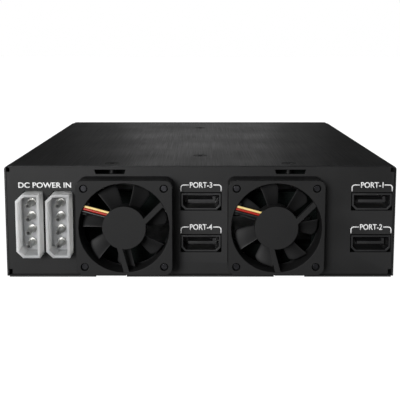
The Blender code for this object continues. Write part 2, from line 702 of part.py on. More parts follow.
def make_data_port(number, x, z, finish):
    """A shrouded data header: a box with chamfered lower corners and an L-shaped tongue."""
    face = PANEL_Y - 0.2 * MM
    port = slab(f"data_port_{number}", [port_outline(x, z, 0)], (face, BOARD_Y - GAP), finish)
    hollow = slab("port_cavity", [port_outline(x, z, PORT_WALL)], (face - MM, face + PORT_CAVITY_DEPTH))
    t, left, right = TONGUE_THICKNESS, x - TONGUE_WIDTH / 2 + 0.2 * MM, x + TONGUE_WIDTH / 2 + 0.2 * MM
    leg_top = z + t / 2 + 1.2 * MM
    tongue = slab("port_tongue", [[
        (left, z - t / 2), (right, z - t / 2), (right, leg_top),
        (right - t, leg_top), (right - t, z + t / 2), (left, z + t / 2),
    ]], (face + 1.6 * MM, face + PORT_CAVITY_DEPTH + MM))
    join(cut(port, hollow), tongue)


def make_power_inlet(number, x, finish, metal):
    shell = slab(f"power_inlet_{number}", [inlet_outline(x)], (INLET_RIM_Y, BOARD_Y - 1.2 * MM), finish)
    hollow = slab("inlet_cavity", [inlet_outline(x, -INLET_WALL)], (INLET_RIM_Y - MM, INLET_FLOOR_Y))
    cut(shell, hollow)
    tip_y = INLET_RIM_Y + 0.7 * MM
    strip_y = BOARD_Y - GAP
    strip = box(f"power_pins_{number}", (x - 1.5 * MM, strip_y - 0.6 * MM, INLET_Z - 9.5 * MM),
                (x + 1.5 * MM, strip_y, INLET_Z + 9.5 * MM), metal)
    for i in range(4):
        z = INLET_Z + (i - 1.5) * PIN_PITCH
        hole = rod("pin_hole", (x, INLET_FLOOR_Y - MM, z), (x, BOARD_Y, z), PIN_RADIUS + 0.1 * MM, 10)
        cut(shell, hole)
        pin = rod("power_pin", (x, strip_y - 0.3 * MM, z), (x, tip_y + 0.8 * MM, z), PIN_RADIUS, 10)
        nose = cone_between("pin_nose", (x, tip_y + 1.0 * MM, z), (x, tip_y, z),
                            PIN_RADIUS - 0.04 * MM, 0.5 * MM, 14)
        join(strip, pin, nose)


# ---------------------------------------------------------------- trays


def make_tray_sheet(number, x, z, finish):
    """A thin steel floor with two side walls that a drive is screwed between."""
    half = TRAY_WIDTH / 2
    outline = [(px + x, 2 * z + TRAY_WALL - pz) for px, pz in
               channel_outline(half, z, z + TRAY_WALL, TRAY_SHEET, 1.0 * MM)]
    tray = slab(f"tray_sheet_{number}", [outline], (TRAY_REAR_Y, TRAY_FRONT_Y - GAP), finish)
    for y in [SOCKET_FACE_Y + along for along in DRIVE_HOLES]:
        hole = rod("drive_hole", (x - half - MM, y, z + 3.6 * MM), (x + half + MM, y, z + 3.6 * MM),
                   1.6 * MM, 8)
        cut(tray, hole)


def make_tray_front(number, x, z, finish):
    """The moulded front: a pocket for the lever, vents behind it, and a hole for the button."""
    half = TRAY_WIDTH / 2
    middle = z + TRAY_FACE_HEIGHT / 2
    front = box(f"tray_front_{number}", (x - half, TRAY_FRONT_Y, z),
                (x + half, TRAY_FACE_Y, z + TRAY_FACE_HEIGHT), finish)
    pocket_half = LEVER_HEIGHT / 2 + 0.35 * MM
    pocket = box(
        "lever_pocket",
        (x + LEVER_END_X - 0.4 * MM, PIVOT_Y - LEVER_HALF_DEPTH - 0.4 * MM, middle - pocket_half),
        (x + PIVOT_X + LEVER_HALF_DEPTH + 0.35 * MM, FRONT_Y, middle + pocket_half),
    )
    cut(front, pocket)
    stub_z = LEVER_HEIGHT / 2 + STUB_LENGTH + 0.2 * MM
    pivot = rod("pivot_hole", (x + PIVOT_X, PIVOT_Y, middle - stub_z),
                (x + PIVOT_X, PIVOT_Y, middle + stub_z), STUB_RADIUS + 0.12 * MM, 12)
    cut(front, pivot)
    for i in range(4):
        vent_x = x + LEVER_END_X + (3 + 12 * i) * MM
        vent = box("front_vent", (vent_x, TRAY_FRONT_Y - MM, middle - 4.6 * MM),
                   (vent_x + 9 * MM, TRAY_FACE_Y, middle + 4.6 * MM))
        cut(front, vent)
    reach = BUTTON_HALF + 0.3 * MM
    button_hole = box(
        "button_hole", (x + BUTTON_X - reach, FRONT_Y - 8 * MM, middle - reach),
        (x + BUTTON_X + reach, FRONT_Y, middle + reach),
    )
    cut(front, button_hole)


def make_latch_lever(number, x, z, finish):
    """A slotted lever with a round hinge end and a stub above and below it."""
    middle = z + TRAY_FACE_HEIGHT / 2
    half = LEVER_HEIGHT / 2
    pivot = Vector((x + PIVOT_X, PIVOT_Y, middle))
    up = Vector((0, 0, 1))
    lever = rod(f"latch_lever_{number}", pivot - up * half, pivot + up * half,
                LEVER_HALF_DEPTH, 20, finish)
    bar = box("lever_bar", (x + LEVER_END_X, PIVOT_Y - LEVER_HALF_DEPTH, middle - half),
              (x + PIVOT_X, PIVOT_Y + LEVER_HALF_DEPTH, middle + half))
    stubs = rod("lever_stubs", pivot - up * (half + STUB_LENGTH), pivot + up * (half + STUB_LENGTH),
                STUB_RADIUS, 12)
    join(lever, bar, stubs)
    for i in range(8):
        slot_x = x + LEVER_END_X + (5 + 5 * i) * MM
        slot = box("lever_slot", (slot_x, PIVOT_Y - 5 * MM, middle - 3.6 * MM),
                   (slot_x + 2.4 * MM, PIVOT_Y + 5 * MM, middle + 3.6 * MM))
        cut(lever, slot)
    move_origin(lever, pivot)  # onto the hinge line


def make_release_button(number, x, z, finish):
    middle = z + TRAY_FACE_HEIGHT / 2
    at = Vector((x + BUTTON_X, TRAY_FACE_Y - 2.5 * MM, middle))
    low = at - Vector((BUTTON_HALF, 2.3 * MM, BUTTON_HALF))
    high = at + Vector((BUTTON_HALF, 2.9 * MM, BUTTON_HALF))
    button = box(f"release_button_{number}", low, high, finish)
    bevel = button.modifiers.new("edges", "BEVEL")
    bevel.width = 0.6 * MM
    bevel.segments = 1
    move_origin(button, at)  # onto the line that it moves along


def move_origin(obj, point):
    """Puts a mesh object's origin at point and leaves its shape where it is."""
    obj.data.transform(Matrix.Translation(-point))
    obj.location = point


def main():
    global PARTS, CUTTERS
    clear_scene()
    PARTS = new_collection("drive enclosure")
    CUTTERS = new_collection("cutters")

    black_sheet = material("black_brushed_sheet", (0.022, 0.022, 0.024), 0.34, 0.6)
    panel_paint = material("panel_paint", (0.045, 0.045, 0.047), 0.55)
    inner_sheet = material("zinc_sheet", (0.42, 0.43, 0.44), 0.4, 1.0)
    black_plastic = material("black_plastic", (0.02, 0.02, 0.022), 0.5)
    natural_nylon = material("natural_nylon", (0.62, 0.62, 0.6), 0.45)
    board = material("circuit_board", (0.006, 0.014, 0.01), 0.4)
    screw_steel = material("screw_steel", (0.06, 0.06, 0.065), 0.35, 1.0)
    tin = material("tin_plate", (0.7, 0.7, 0.68), 0.25, 1.0)
    brass = material("bearing_brass", (0.65, 0.45, 0.15), 0.3, 1.0)
    copper = material("motor_copper", (0.6, 0.25, 0.12), 0.35, 1.0)
    wire = material("wire_red", (0.5, 0.03, 0.01), 0.4)
    smoke = material("button_smoke", (0.12, 0.12, 0.13), 0.3)

    make_base(panel_paint)
    make_top_cover(black_sheet)
    make_rear_panel(panel_paint)
    make_divider(inner_sheet)
    make_shelves(inner_sheet)
    make_front_frame(black_plastic)
    make_cover_screws(screw_steel)
    make_fan_screws(screw_steel)
    for number, side in ((1, -1), (2, 1)):
        make_fan_frame(number, side, black_plastic)
        make_fan_rotor(number, side, black_plastic)
        make_fan_motor(number, side, tin, brass, copper)
        make_fan_lead(number, side, wire)
    make_board(board)
    make_drive_sockets(black_plastic)
    for number, (x, z) in port_places().items():
        make_data_port(number, x, z, black_plastic)
    for number, x in enumerate(INLET_X, 1):
        make_power_inlet(number, x, natural_nylon, tin)
    for number, (x, z) in BAYS.items():
        make_tray_sheet(number, x, z, inner_sheet)
        make_tray_front(number, x, z, black_plastic)
        make_latch_lever(number, x, z, black_plastic)
        make_release_button(number, x, z, smoke)


main()
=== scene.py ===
"""The looks of a four-bay hot-swap drive enclosure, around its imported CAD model."""

import json
import math

import bmesh
import bpy
from mathutils import Matrix, Vector


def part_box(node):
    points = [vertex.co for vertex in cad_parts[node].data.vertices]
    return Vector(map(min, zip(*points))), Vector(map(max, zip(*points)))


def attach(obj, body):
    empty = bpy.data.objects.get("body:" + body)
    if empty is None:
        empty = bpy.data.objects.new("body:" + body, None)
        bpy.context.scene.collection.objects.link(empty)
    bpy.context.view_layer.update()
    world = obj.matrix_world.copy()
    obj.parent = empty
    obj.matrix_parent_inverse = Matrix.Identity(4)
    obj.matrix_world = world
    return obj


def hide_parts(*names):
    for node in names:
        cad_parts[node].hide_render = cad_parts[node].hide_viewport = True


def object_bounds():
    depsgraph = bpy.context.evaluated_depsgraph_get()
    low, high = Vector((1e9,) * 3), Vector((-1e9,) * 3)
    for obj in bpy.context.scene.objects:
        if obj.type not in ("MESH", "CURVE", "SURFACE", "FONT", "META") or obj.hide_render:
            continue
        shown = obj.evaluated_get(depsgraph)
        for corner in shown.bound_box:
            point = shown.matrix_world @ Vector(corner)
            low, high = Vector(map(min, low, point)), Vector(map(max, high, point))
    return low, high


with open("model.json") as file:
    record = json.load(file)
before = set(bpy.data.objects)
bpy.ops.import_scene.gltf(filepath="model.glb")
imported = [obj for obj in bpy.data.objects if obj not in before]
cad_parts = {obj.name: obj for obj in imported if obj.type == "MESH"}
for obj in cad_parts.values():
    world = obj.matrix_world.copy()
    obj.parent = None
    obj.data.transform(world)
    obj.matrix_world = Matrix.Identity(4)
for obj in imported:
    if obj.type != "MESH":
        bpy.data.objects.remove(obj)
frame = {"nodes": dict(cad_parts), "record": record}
cad_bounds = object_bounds()

MM = 0.001
NODES = frame["nodes"]
BODY_OF = {
    node: body
    for body, members in frame["record"]["behaviour"]["bodies"].items()
    for node in members
}
SLOT_OF = {row["node"]: row["material_slot"] for row in frame["record"]["subparts"]}

PANEL_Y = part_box("rear_panel")[0].y
BOTTOM_Z = cad_bounds[0].z
TOP_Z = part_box("top_cover")[1].z

WELD = 1e-6  # metres between points that count as one
EDGE_ANGLE = math.radians(32)  # a sharper edge than this is rounded
EDGE_SEGMENTS = 2
SMOOTH_ACROSS = math.cos(math.radians(50))  # faces that meet at less than this shade as one
SAME_PLANE = math.cos(math.radians(0.4))
SMALL_TURNED_STEPS = 24
WIRE_RESOLUTION = 3
LETTER_BOLDNESS = 0.022  # of the letters' size
LETTER_WELD = 1e-5  # of the letters' size
INK_THICKNESS = 0.02 * MM

# ---------------------------------------------------------------- materials

WORN_EDGE = (0.53, 0.6)  # pointiness at which wear starts, and is full

MATERIALS = {}  # {slot or finish name: material}


def new_material(name):
    """The node tree and the shader of a new material."""
    made = bpy.data.materials.new(f"{name}.fine")
    made.use_nodes = True
    MATERIALS[name] = made
    return made.node_tree, made.node_tree.nodes["Principled BSDF"]


def object_coords(tree, stretch=(1, 1, 1)):
    """The object's own coordinates, in metres, stretched per axis."""
    coords = tree.nodes.new("ShaderNodeTexCoord")
    mapping = tree.nodes.new("ShaderNodeMapping")
    mapping.inputs["Scale"].default_value = stretch
    tree.links.new(coords.outputs["Object"], mapping.inputs["Vector"])
    return mapping.outputs["Vector"]


def noise(tree, vector, scale, detail=3.0, roughness=0.55):
    """Cloudy noise from 0 to 1, with about scale clouds to the metre."""
    node = tree.nodes.new("ShaderNodeTexNoise")
    node.inputs["Scale"].default_value = scale
    node.inputs["Detail"].default_value = detail
    node.inputs["Roughness"].default_value = roughness
    tree.links.new(vector, node.inputs["Vector"])
    return node.outputs["Fac"]


def ramp(tree, value, low, high, start=0.3, end=0.7):
    """A colour between low and high as value goes from start to end."""
    node = tree.nodes.new("ShaderNodeValToRGB")
    first, last = node.color_ramp.elements
    first.position, last.position = start, end
    first.color, last.color = (*low, 1), (*high, 1)
    tree.links.new(value, node.inputs["Fac"])
    return node.outputs["Color"]


def spread(tree, value, low, high, start=0.3, end=0.7):
    """A number between low and high as value goes from start to end."""
    node = tree.nodes.new("ShaderNodeMapRange")
    ends = {"From Min": start, "From Max": end, "To Min": low, "To Max": high}
    for socket, number in ends.items():
        node.inputs[socket].default_value = number
    tree.links.new(value, node.inputs["Value"])
    return node.outputs["Result"]


def add_bump(tree, shader, height, distance, strength=1.0):
    """Grain in the shading only, distance metres deep."""
    bump = tree.nodes.new("ShaderNodeBump")
    bump.inputs["Distance"].default_value = distance
    bump.inputs["Strength"].default_value = strength
    tree.links.new(height, bump.inputs["Height"])
    tree.links.new(bump.outputs["Normal"], shader.inputs["Normal"])


def edge_wear(tree, colour, worn, amount):
    """The colour, lightened where an edge stands out."""
    geometry = tree.nodes.new("ShaderNodeNewGeometry")
    worn_part = spread(tree, geometry.outputs["Pointiness"], 0, amount, *WORN_EDGE)
    mix = tree.nodes.new("ShaderNodeMix")
    mix.data_type = "RGBA"
    tree.links.new(worn_part, mix.inputs["Factor"])
    tree.links.new(colour, mix.inputs["A"])
    mix.inputs["B"].default_value = (*worn, 1)
    return mix.outputs["Result"]


def brushed_sheet():
    """Black sheet with fine streaks that run front to back."""
    tree, shader = new_material("cover_black")
    fine_coords = object_coords(tree, stretch=(1, 0.012, 1))
    fine = noise(tree, fine_coords, scale=2600, detail=4, roughness=0.65)
    broad_coords = object_coords(tree, stretch=(1, 0.02, 1))
    broad = noise(tree, broad_coords, scale=420, detail=3, roughness=0.6)
    cloud = noise(tree, object_coords(tree), scale=28, detail=2)
    colour = ramp(tree, broad, low=(0.012, 0.012, 0.013), high=(0.03, 0.03, 0.031))
    worn = edge_wear(tree, colour, worn=(0.09, 0.09, 0.09), amount=0.4)
    tree.links.new(worn, shader.inputs["Base Color"])
    shader.inputs["Metallic"].default_value = 0.55
    both = tree.nodes.new("ShaderNodeMath")
    both.operation = "ADD"
    tree.links.new(spread(tree, fine, low=0.3, high=0.42), both.inputs[0])
    tree.links.new(spread(tree, cloud, low=-0.03, high=0.05), both.inputs[1])
    tree.links.new(both.outputs["Value"], shader.inputs["Roughness"])
    add_bump(tree, shader, fine, distance=0.004 * MM, strength=0.8)


def powder_coat(name, low, high, rough, specular):
    """Matt paint with a fine orange-peel grain, lighter where an edge is worn."""
    tree, shader = new_material(name)
    grain = noise(tree, object_coords(tree), scale=3800, detail=2)
    cloud = noise(tree, object_coords(tree), scale=45, detail=3)
    colour = ramp(tree, cloud, low, high)
    worn_gain = 2.4
    worn = tuple(worn_gain * channel for channel in high)
    tree.links.new(edge_wear(tree, colour, worn, amount=0.35), shader.inputs["Base Color"])
    roughness = spread(tree, cloud, low=rough - 0.05, high=rough + 0.06)
    tree.links.new(roughness, shader.inputs["Roughness"])
    shader.inputs["Specular IOR Level"].default_value = specular
    add_bump(tree, shader, grain, distance=0.012 * MM)


def moulded(name, low, high, rough, grain_size=0.22, grain_depth=0.006, specular=0.5):
    """Moulded plastic: a spark-eroded grain, sized in mm, and slow changes of colour and gloss."""
    tree, shader = new_material(name)
    grain = noise(tree, object_coords(tree), scale=1 / (grain_size * MM), detail=2)
    cloud = noise(tree, object_coords(tree), scale=70, detail=3)
    tree.links.new(ramp(tree, cloud, low, high), shader.inputs["Base Color"])
    roughness = spread(tree, cloud, low=rough - 0.05, high=rough + 0.05)
    tree.links.new(roughness, shader.inputs["Roughness"])
    shader.inputs["Specular IOR Level"].default_value = specular
    add_bump(tree, shader, grain, distance=grain_depth * MM)


def nylon():
    """Natural nylon: off-white and a little translucent."""
    tree, shader = new_material("natural_nylon")
    grain = noise(tree, object_coords(tree), scale=1500, detail=3)
    cloud = noise(tree, object_coords(tree), scale=130, detail=3)
    colour = ramp(tree, cloud, low=(0.82, 0.83, 0.83), high=(0.88, 0.88, 0.87))
    tree.links.new(colour, shader.inputs["Base Color"])
    tree.links.new(spread(tree, cloud, low=0.34, high=0.46), shader.inputs["Roughness"])
    shader.inputs["Subsurface Weight"].default_value = 1.0
    shader.inputs["Subsurface Radius"].default_value = (1.0, 0.97, 0.93)
    shader.inputs["Subsurface Scale"].default_value = 16 * MM
    add_bump(tree, shader, grain, distance=0.01 * MM, strength=0.7)


def spangled_zinc():
    """Zinc-plated sheet, with faint crystals and rolling marks."""
    tree, shader = new_material("zinc_sheet")
    crystals = tree.nodes.new("ShaderNodeTexVoronoi")
    crystals.inputs["Scale"].default_value = 190
    tree.links.new(object_coords(tree), crystals.inputs["Vector"])
    split = tree.nodes.new("ShaderNodeSeparateColor")
    tree.links.new(crystals.outputs["Color"], split.inputs["Color"])
    marks = noise(tree, object_coords(tree, stretch=(1, 0.03, 1)), scale=1500, detail=3)
    red, green = split.outputs["Red"], split.outputs["Green"]
    colour = ramp(tree, red, low=(0.36, 0.37, 0.38), high=(0.52, 0.53, 0.54), start=0, end=1)
    tree.links.new(colour, shader.inputs["Base Color"])
    shader.inputs["Metallic"].default_value = 1.0
    roughness = spread(tree, green, low=0.3, high=0.46, start=0, end=1)
    tree.links.new(roughness, shader.inputs["Roughness"])
    add_bump(tree, shader, marks, distance=0.004 * MM, strength=0.6)


def bright_metal(name, low, high, rough, metallic=1.0):
    """Plated or turned metal, with hairline marks and handling marks."""
    tree, shader = new_material(name)
    marks = noise(tree, object_coords(tree, stretch=(1, 0.1, 1)), scale=3000, detail=4)
    cloud = noise(tree, object_coords(tree), scale=300, detail=3)
    tree.links.new(ramp(tree, cloud, low, high), shader.inputs["Base Color"])
    shader.inputs["Metallic"].default_value = metallic
    roughness = spread(tree, marks, low=rough - 0.06, high=rough + 0.1)
    tree.links.new(roughness, shader.inputs["Roughness"])
    add_bump(tree, shader, marks, distance=0.002 * MM, strength=0.6)


def wound_copper():
    """Rows of enamelled wire."""
    tree, shader = new_material("motor_copper")
    rows = tree.nodes.new("ShaderNodeTexWave")
    rows.bands_direction = "Y"
    rows.inputs["Scale"].default_value = 900
    tree.links.new(object_coords(tree), rows.inputs["Vector"])
    colour = ramp(tree, rows.outputs["Fac"], low=(0.2, 0.06, 0.025), high=(0.7, 0.3, 0.14))
    tree.links.new(colour, shader.inputs["Base Color"])
    shader.inputs["Metallic"].default_value = 0.9
    shader.inputs["Roughness"].default_value = 0.3
    add_bump(tree, shader, rows.outputs["Fac"], distance=0.05 * MM)


def solder_mask():
    """Dark solder mask over copper traces."""
    tree, shader = new_material("circuit_board")
    traces = tree.nodes.new("ShaderNodeTexBrick")
    traces.inputs["Scale"].default_value = 260
    traces.inputs["Mortar Size"].default_value = 0.05
    traces.inputs["Color1"].default_value = (0.001, 0.002, 0.0018, 1)
    traces.inputs["Color2"].default_value = (0.0015, 0.003, 0.0025, 1)
    traces.inputs["Mortar"].default_value = (0.003, 0.006, 0.005, 1)
    coords = tree.nodes.new("ShaderNodeTexCoord")
    flat = tree.nodes.new("ShaderNodeMapping")
    flat.inputs["Rotation"].default_value = (math.radians(90), 0, 0)
    tree.links.new(coords.outputs["Object"], flat.inputs["Vector"])
    tree.links.new(flat.outputs["Vector"], traces.inputs["Vector"])
    tree.links.new(traces.outputs["Color"], shader.inputs["Base Color"])
    shader.inputs["Roughness"].default_value = 0.6
    shader.inputs["Specular IOR Level"].default_value = 0.08
    add_bump(tree, shader, traces.outputs["Fac"], distance=0.02 * MM, strength=0.6)


def insulation(name, low, high):
    """Smooth PVC on a wire."""
    tree, shader = new_material(name)
    cloud = noise(tree, object_coords(tree), scale=800, detail=2)
    tree.links.new(ramp(tree, cloud, low, high), shader.inputs["Base Color"])
    tree.links.new(spread(tree, cloud, low=0.28, high=0.4), shader.inputs["Roughness"])
    add_bump(tree, shader, cloud, distance=0.008 * MM, strength=0.5)


def ink():
    """White screen-printed ink, thinner here and there."""
    tree, shader = new_material("white_ink")
    cloud = noise(tree, object_coords(tree), scale=2200, detail=3)
    colour = ramp(tree, cloud, low=(0.86, 0.86, 0.86), high=(0.97, 0.97, 0.97))
    tree.links.new(colour, shader.inputs["Base Color"])
    tree.links.new(spread(tree, cloud, low=0.45, high=0.6), shader.inputs["Roughness"])


def smoky_plastic(name, colour, transmission):
    """Half-clear polished plastic, a little darker in a few places."""
    tree, shader = new_material(name)
    marks = noise(tree, object_coords(tree), scale=900, detail=3)
    shade = 0.8
    dark = tuple(shade * channel for channel in colour)
    tree.links.new(ramp(tree, marks, dark, colour), shader.inputs["Base Color"])
    tree.links.new(spread(tree, marks, low=0.12, high=0.24), shader.inputs["Roughness"])
    shader.inputs["Transmission Weight"].default_value = transmission


def make_materials():
    """Each finish, with the colours that its surface goes between."""
    near_black, soft_black = (0.008, 0.008, 0.009), (0.016, 0.016, 0.017)
    coat = (0.0095, 0.0095, 0.0098), (0.013, 0.013, 0.0133)
    fan_grey = (0.0086, 0.0086, 0.0088), (0.0122, 0.0122, 0.0125)
    # The rotor's grey is lighter than the fan's own grey: painted light on the blades.
    rotor_lit_grey = (0.013, 0.013, 0.0133), (0.018, 0.018, 0.0184)
    frame_grey = soft_black, (0.022, 0.022, 0.024)
    shell_grey = (0.012, 0.012, 0.013), (0.02, 0.02, 0.021)
    oxide = (0.004, 0.004, 0.0042), (0.009, 0.009, 0.0095)
    brushed_sheet()
    powder_coat("panel_black", *coat, rough=0.5, specular=0.28)
    spangled_zinc()
    moulded("frame_plastic", *frame_grey, rough=0.5, grain_size=0.3, grain_depth=0.02)
    moulded("lever_plastic", near_black, soft_black, rough=0.42, grain_size=0.2, grain_depth=0.01)
    smoky_plastic("button_smoke", (0.1, 0.1, 0.11), transmission=0.25)
    bright_metal("screw_steel", (0.02, 0.02, 0.022), (0.05, 0.05, 0.055), rough=0.34)
    moulded("fan_plastic", *fan_grey, rough=0.6, specular=0.25)
    # The blades get a lighter, glossier copy of the fan plastic: painted light for the light they
    # catch.
    moulded("rotor_plastic_lit", *rotor_lit_grey, rough=0.5, specular=0.34)
    bright_metal("shaft_steel", (0.5, 0.5, 0.5), (0.62, 0.62, 0.61), rough=0.2)
    bright_metal("bearing_brass", (0.55, 0.36, 0.12), (0.7, 0.48, 0.2), rough=0.28)
    wound_copper()
    insulation("lead_wires", (0.36, 0.012, 0.004), (0.48, 0.02, 0.008))
    insulation("wire_yellow", (0.96, 0.7, 0.24), (1.0, 0.8, 0.36))
    insulation("wire_black", (0.008, 0.008, 0.008), (0.016, 0.016, 0.017))
    solder_mask()
    moulded("connector_black", *shell_grey, rough=0.38, grain_size=0.15, grain_depth=0.004)
    nylon()
    bright_metal("tin_plate", (0.78, 0.78, 0.77), (0.88, 0.88, 0.87), rough=0.18)
    bright_metal("pin_metal", (0.4, 0.4, 0.39), (0.5, 0.5, 0.48), rough=0.34)
    bright_metal("black_oxide", *oxide, rough=0.45, metallic=0.3)
    bright_metal("contact_gold", (0.75, 0.5, 0.16), (0.9, 0.64, 0.26), rough=0.2)
    ink()
    smoky_plastic("light_pipe", (0.75, 0.78, 0.76), transmission=0.6)
    insulation("capacitor_tan", (0.3, 0.2, 0.11), (0.42, 0.29, 0.17))


# ---------------------------------------------------------------- shapes


def place(name, data, body, slot, finish=None):
    """A piece that rides on a body."""
    piece = bpy.data.objects.new(name, data)
    bpy.context.scene.collection.objects.link(piece)
    data.materials.clear()
    data.materials.append(MATERIALS[finish or slot])
    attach(piece, body)
    return piece


def mesh_from(name, bm):
    """A smooth-shaded mesh from bm, which it frees."""
    bmesh.ops.recalc_face_normals(bm, faces=bm.faces)
    mesh = bpy.data.meshes.new(name)
    bm.to_mesh(mesh)
    bm.free()
    mesh.polygons.foreach_set("use_smooth", [True] * len(mesh.polygons))
    return mesh


def flat_areas(bm):
    """{face index: area of the flat region that the face is part of}"""
    found = {}
    for first in bm.faces:
        if first.index in found:
            continue
        region, waiting = {first}, [first]
        while waiting:
            face = waiting.pop()
            near = {other for edge in face.edges for other in edge.link_faces} - region
            flush = [other for other in near if face.normal.dot(other.normal) > SAME_PLANE]
            region.update(flush)
            waiting += flush
        area = sum(face.calc_area() for face in region)
        found.update((face.index, area) for face in region)
    return found


def settle_normals(mesh):
    """Sets the corner normals: the largest flat region at a corner has the most say in it."""
    bm = bmesh.new()
    bm.from_mesh(mesh)
    areas = flat_areas(bm)
    normals = []
    for face in bm.faces:
        for loop in face.loops:
            total = Vector()
            for other in loop.vert.link_faces:
                if face.normal.dot(other.normal) > SMOOTH_ACROSS:
                    total += other.normal * areas[other.index]
            normals.append(total.normalized())
    bm.free()
    mesh.normals_split_custom_set(normals)


def round_edges(piece, width):
    """Rounds the piece's edges, and keeps its flat faces flat in the shading."""
    bevel = piece.modifiers.new("edges", "BEVEL")
    bevel.width = width
    bevel.segments = EDGE_SEGMENTS
    bevel.limit_method = "ANGLE"
    bevel.angle_limit = EDGE_ANGLE
    bevel.use_clamp_overlap = False
    graph = bpy.context.evaluated_depsgraph_get()
    rounded = bpy.data.meshes.new_from_object(piece.evaluated_get(graph), depsgraph=graph)
    piece.modifiers.clear()
    piece.data = rounded
    settle_normals(rounded)
    return piece


def refine(node, width, finish=None):
    """A copy of a CAD node with rounded edges, in the node's place."""
    bm = bmesh.new()
    bm.from_mesh(NODES[node].data)
    bmesh.ops.remove_doubles(bm, verts=bm.verts, dist=WELD)
    mesh = mesh_from(f"{node}.fine", bm)
    piece = place(f"{node}.fine", mesh, BODY_OF[node], SLOT_OF[node], finish)
    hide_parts(node)
    return round_edges(piece, width)


def finish_node(node):
    """Gives a CAD node that stays its finished material."""
    data = NODES[node].data
    data.materials.clear()
    data.materials.append(MATERIALS[SLOT_OF[node]])


def block(bm, low, high):
    """Adds a box to bm."""
    low, high = Vector(low), Vector(high)
    middle = Matrix.Translation((low + high) / 2)
    size = Matrix.Diagonal((*(high - low), 1))
    bmesh.ops.create_cube(bm, size=1, matrix=middle @ size)


def blocks(name, boxes, body, slot, finish=None, edge=0.05 * MM):
    """Blocks with rounded edges, as one piece."""
    bm = bmesh.new()
    for low, high in boxes:
        block(bm, low, high)
    return round_edges(place(name, mesh_from(name, bm), body, slot, finish), edge)


def turned(name, profile, centre, body, slot, finish=None, steps=64):
    """A shape turned about an axis along Y through centre, from (radius, y) points."""
    bm = bmesh.new()
    turns = [2 * math.pi * i / steps for i in range(steps)]
    rings = []
    for radius, y in profile:
        if radius < WELD:
            rings.append([bm.verts.new((centre.x, y, centre.z))])
            continue
        rings.append([
            bm.verts.new((centre.x + radius * math.cos(a), y, centre.z + radius * math.sin(a)))
            for a in turns
        ])
    for near, far in zip(rings, rings[1:]):
        for i in range(steps):
            j = (i + 1) % steps
            ends = [(near, i), (near, j), (far, j), (far, i)]
            corners = [ring[k % len(ring)] for ring, k in ends]
            unlike = list(dict.fromkeys(corners))
            if len(unlike) > 2:
                bm.faces.new(unlike)
    mesh = mesh_from(name, bm)
    settle_normals(mesh)
    return place(name, mesh, body, slot, finish)


def tube(name, points, radius, body, slot, finish):
    """A round wire along the points."""
    curve = bpy.data.curves.new(name, "CURVE")
    curve.dimensions = "3D"
    curve.bevel_depth = radius
    curve.bevel_resolution = WIRE_RESOLUTION
    curve.use_fill_caps = True
    spline = curve.splines.new("POLY")
    spline.points.add(len(points) - 1)
    for point, position in zip(spline.points, points):
        point.co = (*position, 1)
    spline.use_smooth = True
    return place(name, curve, body, slot, finish)


def ribbon(bm, path, half_width, y_low, y_high):
    """Adds a flat strip along a path of (x, z) points, from y_low to y_high, to bm."""
    left, right = [], []
    for i, (x, z) in enumerate(path):
        before, after = path[max(i - 1, 0)], path[min(i + 1, len(path) - 1)]
        along = Vector((after[0] - before[0], after[1] - before[1])).normalized()
        left.append((x - along.y * half_width, z + along.x * half_width))
        right.append((x + along.y * half_width, z - along.x * half_width))
    outline = left + right[::-1]
    near = [bm.verts.new((x, y_low, z)) for x, z in outline]
    far = [bm.verts.new((x, y_high, z)) for x, z in outline]
    last, count = len(path) - 1, len(outline)
    for ring in (near, far):
        for i in range(last):
            bm.faces.new((ring[i], ring[i + 1], ring[count - 2 - i], ring[count - 1 - i]))
    for i in range(count):
        j = (i + 1) % count
        bm.faces.new((near[i], near[j], far[j], far[i]))


def lettering(name, text, centre, size, outward, body, slot="panel_black"):
    """Print of that (width, height), centred, on a surface that faces outward along Y.

    Without a width, the letters keep their own.
    """
    curve = bpy.data.curves.new(name, "FONT")
    curve.body = text
    curve.size = 1
    curve.offset = LETTER_BOLDNESS
    curve.extrude = 0.5  # it only tells front from back: the ink's thickness is set below
    drawn = bpy.data.objects.new(name, curve)
    bpy.context.scene.collection.objects.link(drawn)
    bpy.context.view_layer.update()
    graph = bpy.context.evaluated_depsgraph_get()
    mesh = bpy.data.meshes.new_from_object(drawn.evaluated_get(graph))
    bpy.data.objects.remove(drawn)
    bpy.data.curves.remove(curve)
    bm = bmesh.new()
    bm.from_mesh(mesh)
    bpy.data.meshes.remove(mesh)
    bmesh.ops.remove_doubles(bm, verts=bm.verts, dist=LETTER_WELD)
    xs = [vert.co.x for vert in bm.verts]
    ys = [vert.co.y for vert in bm.verts]
    width, height = size
    upright = height / (max(ys) - min(ys))
    sideways = width / (max(xs) - min(xs)) if width else upright
    for vert in bm.verts:
        x = (vert.co.x - (max(xs) + min(xs)) / 2) * sideways
        z = (vert.co.y - (max(ys) + min(ys)) / 2) * upright
        # The print is read from outside, so it runs the other way on a face towards +Y.
        y = outward * (INK_THICKNESS if vert.co.z > 0 else -INK_THICKNESS)
        vert.co = (centre[0] - outward * x, centre[1] + y, centre[2] + z)
    return place(name, mesh_from(name, bm), body, slot, "white_ink")


# ---------------------------------------------------------------- case

REFINED = {  # start of the node's name: width of its rounded edges
    "top_cover": 0.15 * MM,
    "rear_panel": 0.12 * MM,
    "chassis_base": 0.12 * MM,
    "front_frame": 0.3 * MM,
    "centre_divider": 0.08 * MM,
    "bay_shelf": 0.08 * MM,
    "tray_sheet": 0.05 * MM,
    "tray_front": 0.25 * MM,
    "latch_lever": 0.3 * MM,
    "release_button": 0.3 * MM,
    "cover_screw": 0.1 * MM,
    "fan_screw": 0.1 * MM,
    "fan_frame": 0.22 * MM,
    "backplane_board": 0.08 * MM,
    "drive_socket": 0.15 * MM,
    "data_port": 0.12 * MM,
    "power_inlet": 0.2 * MM,
}
FINISHES = {"cover_screw": "black_oxide"}  # where it isn't the material slot's own


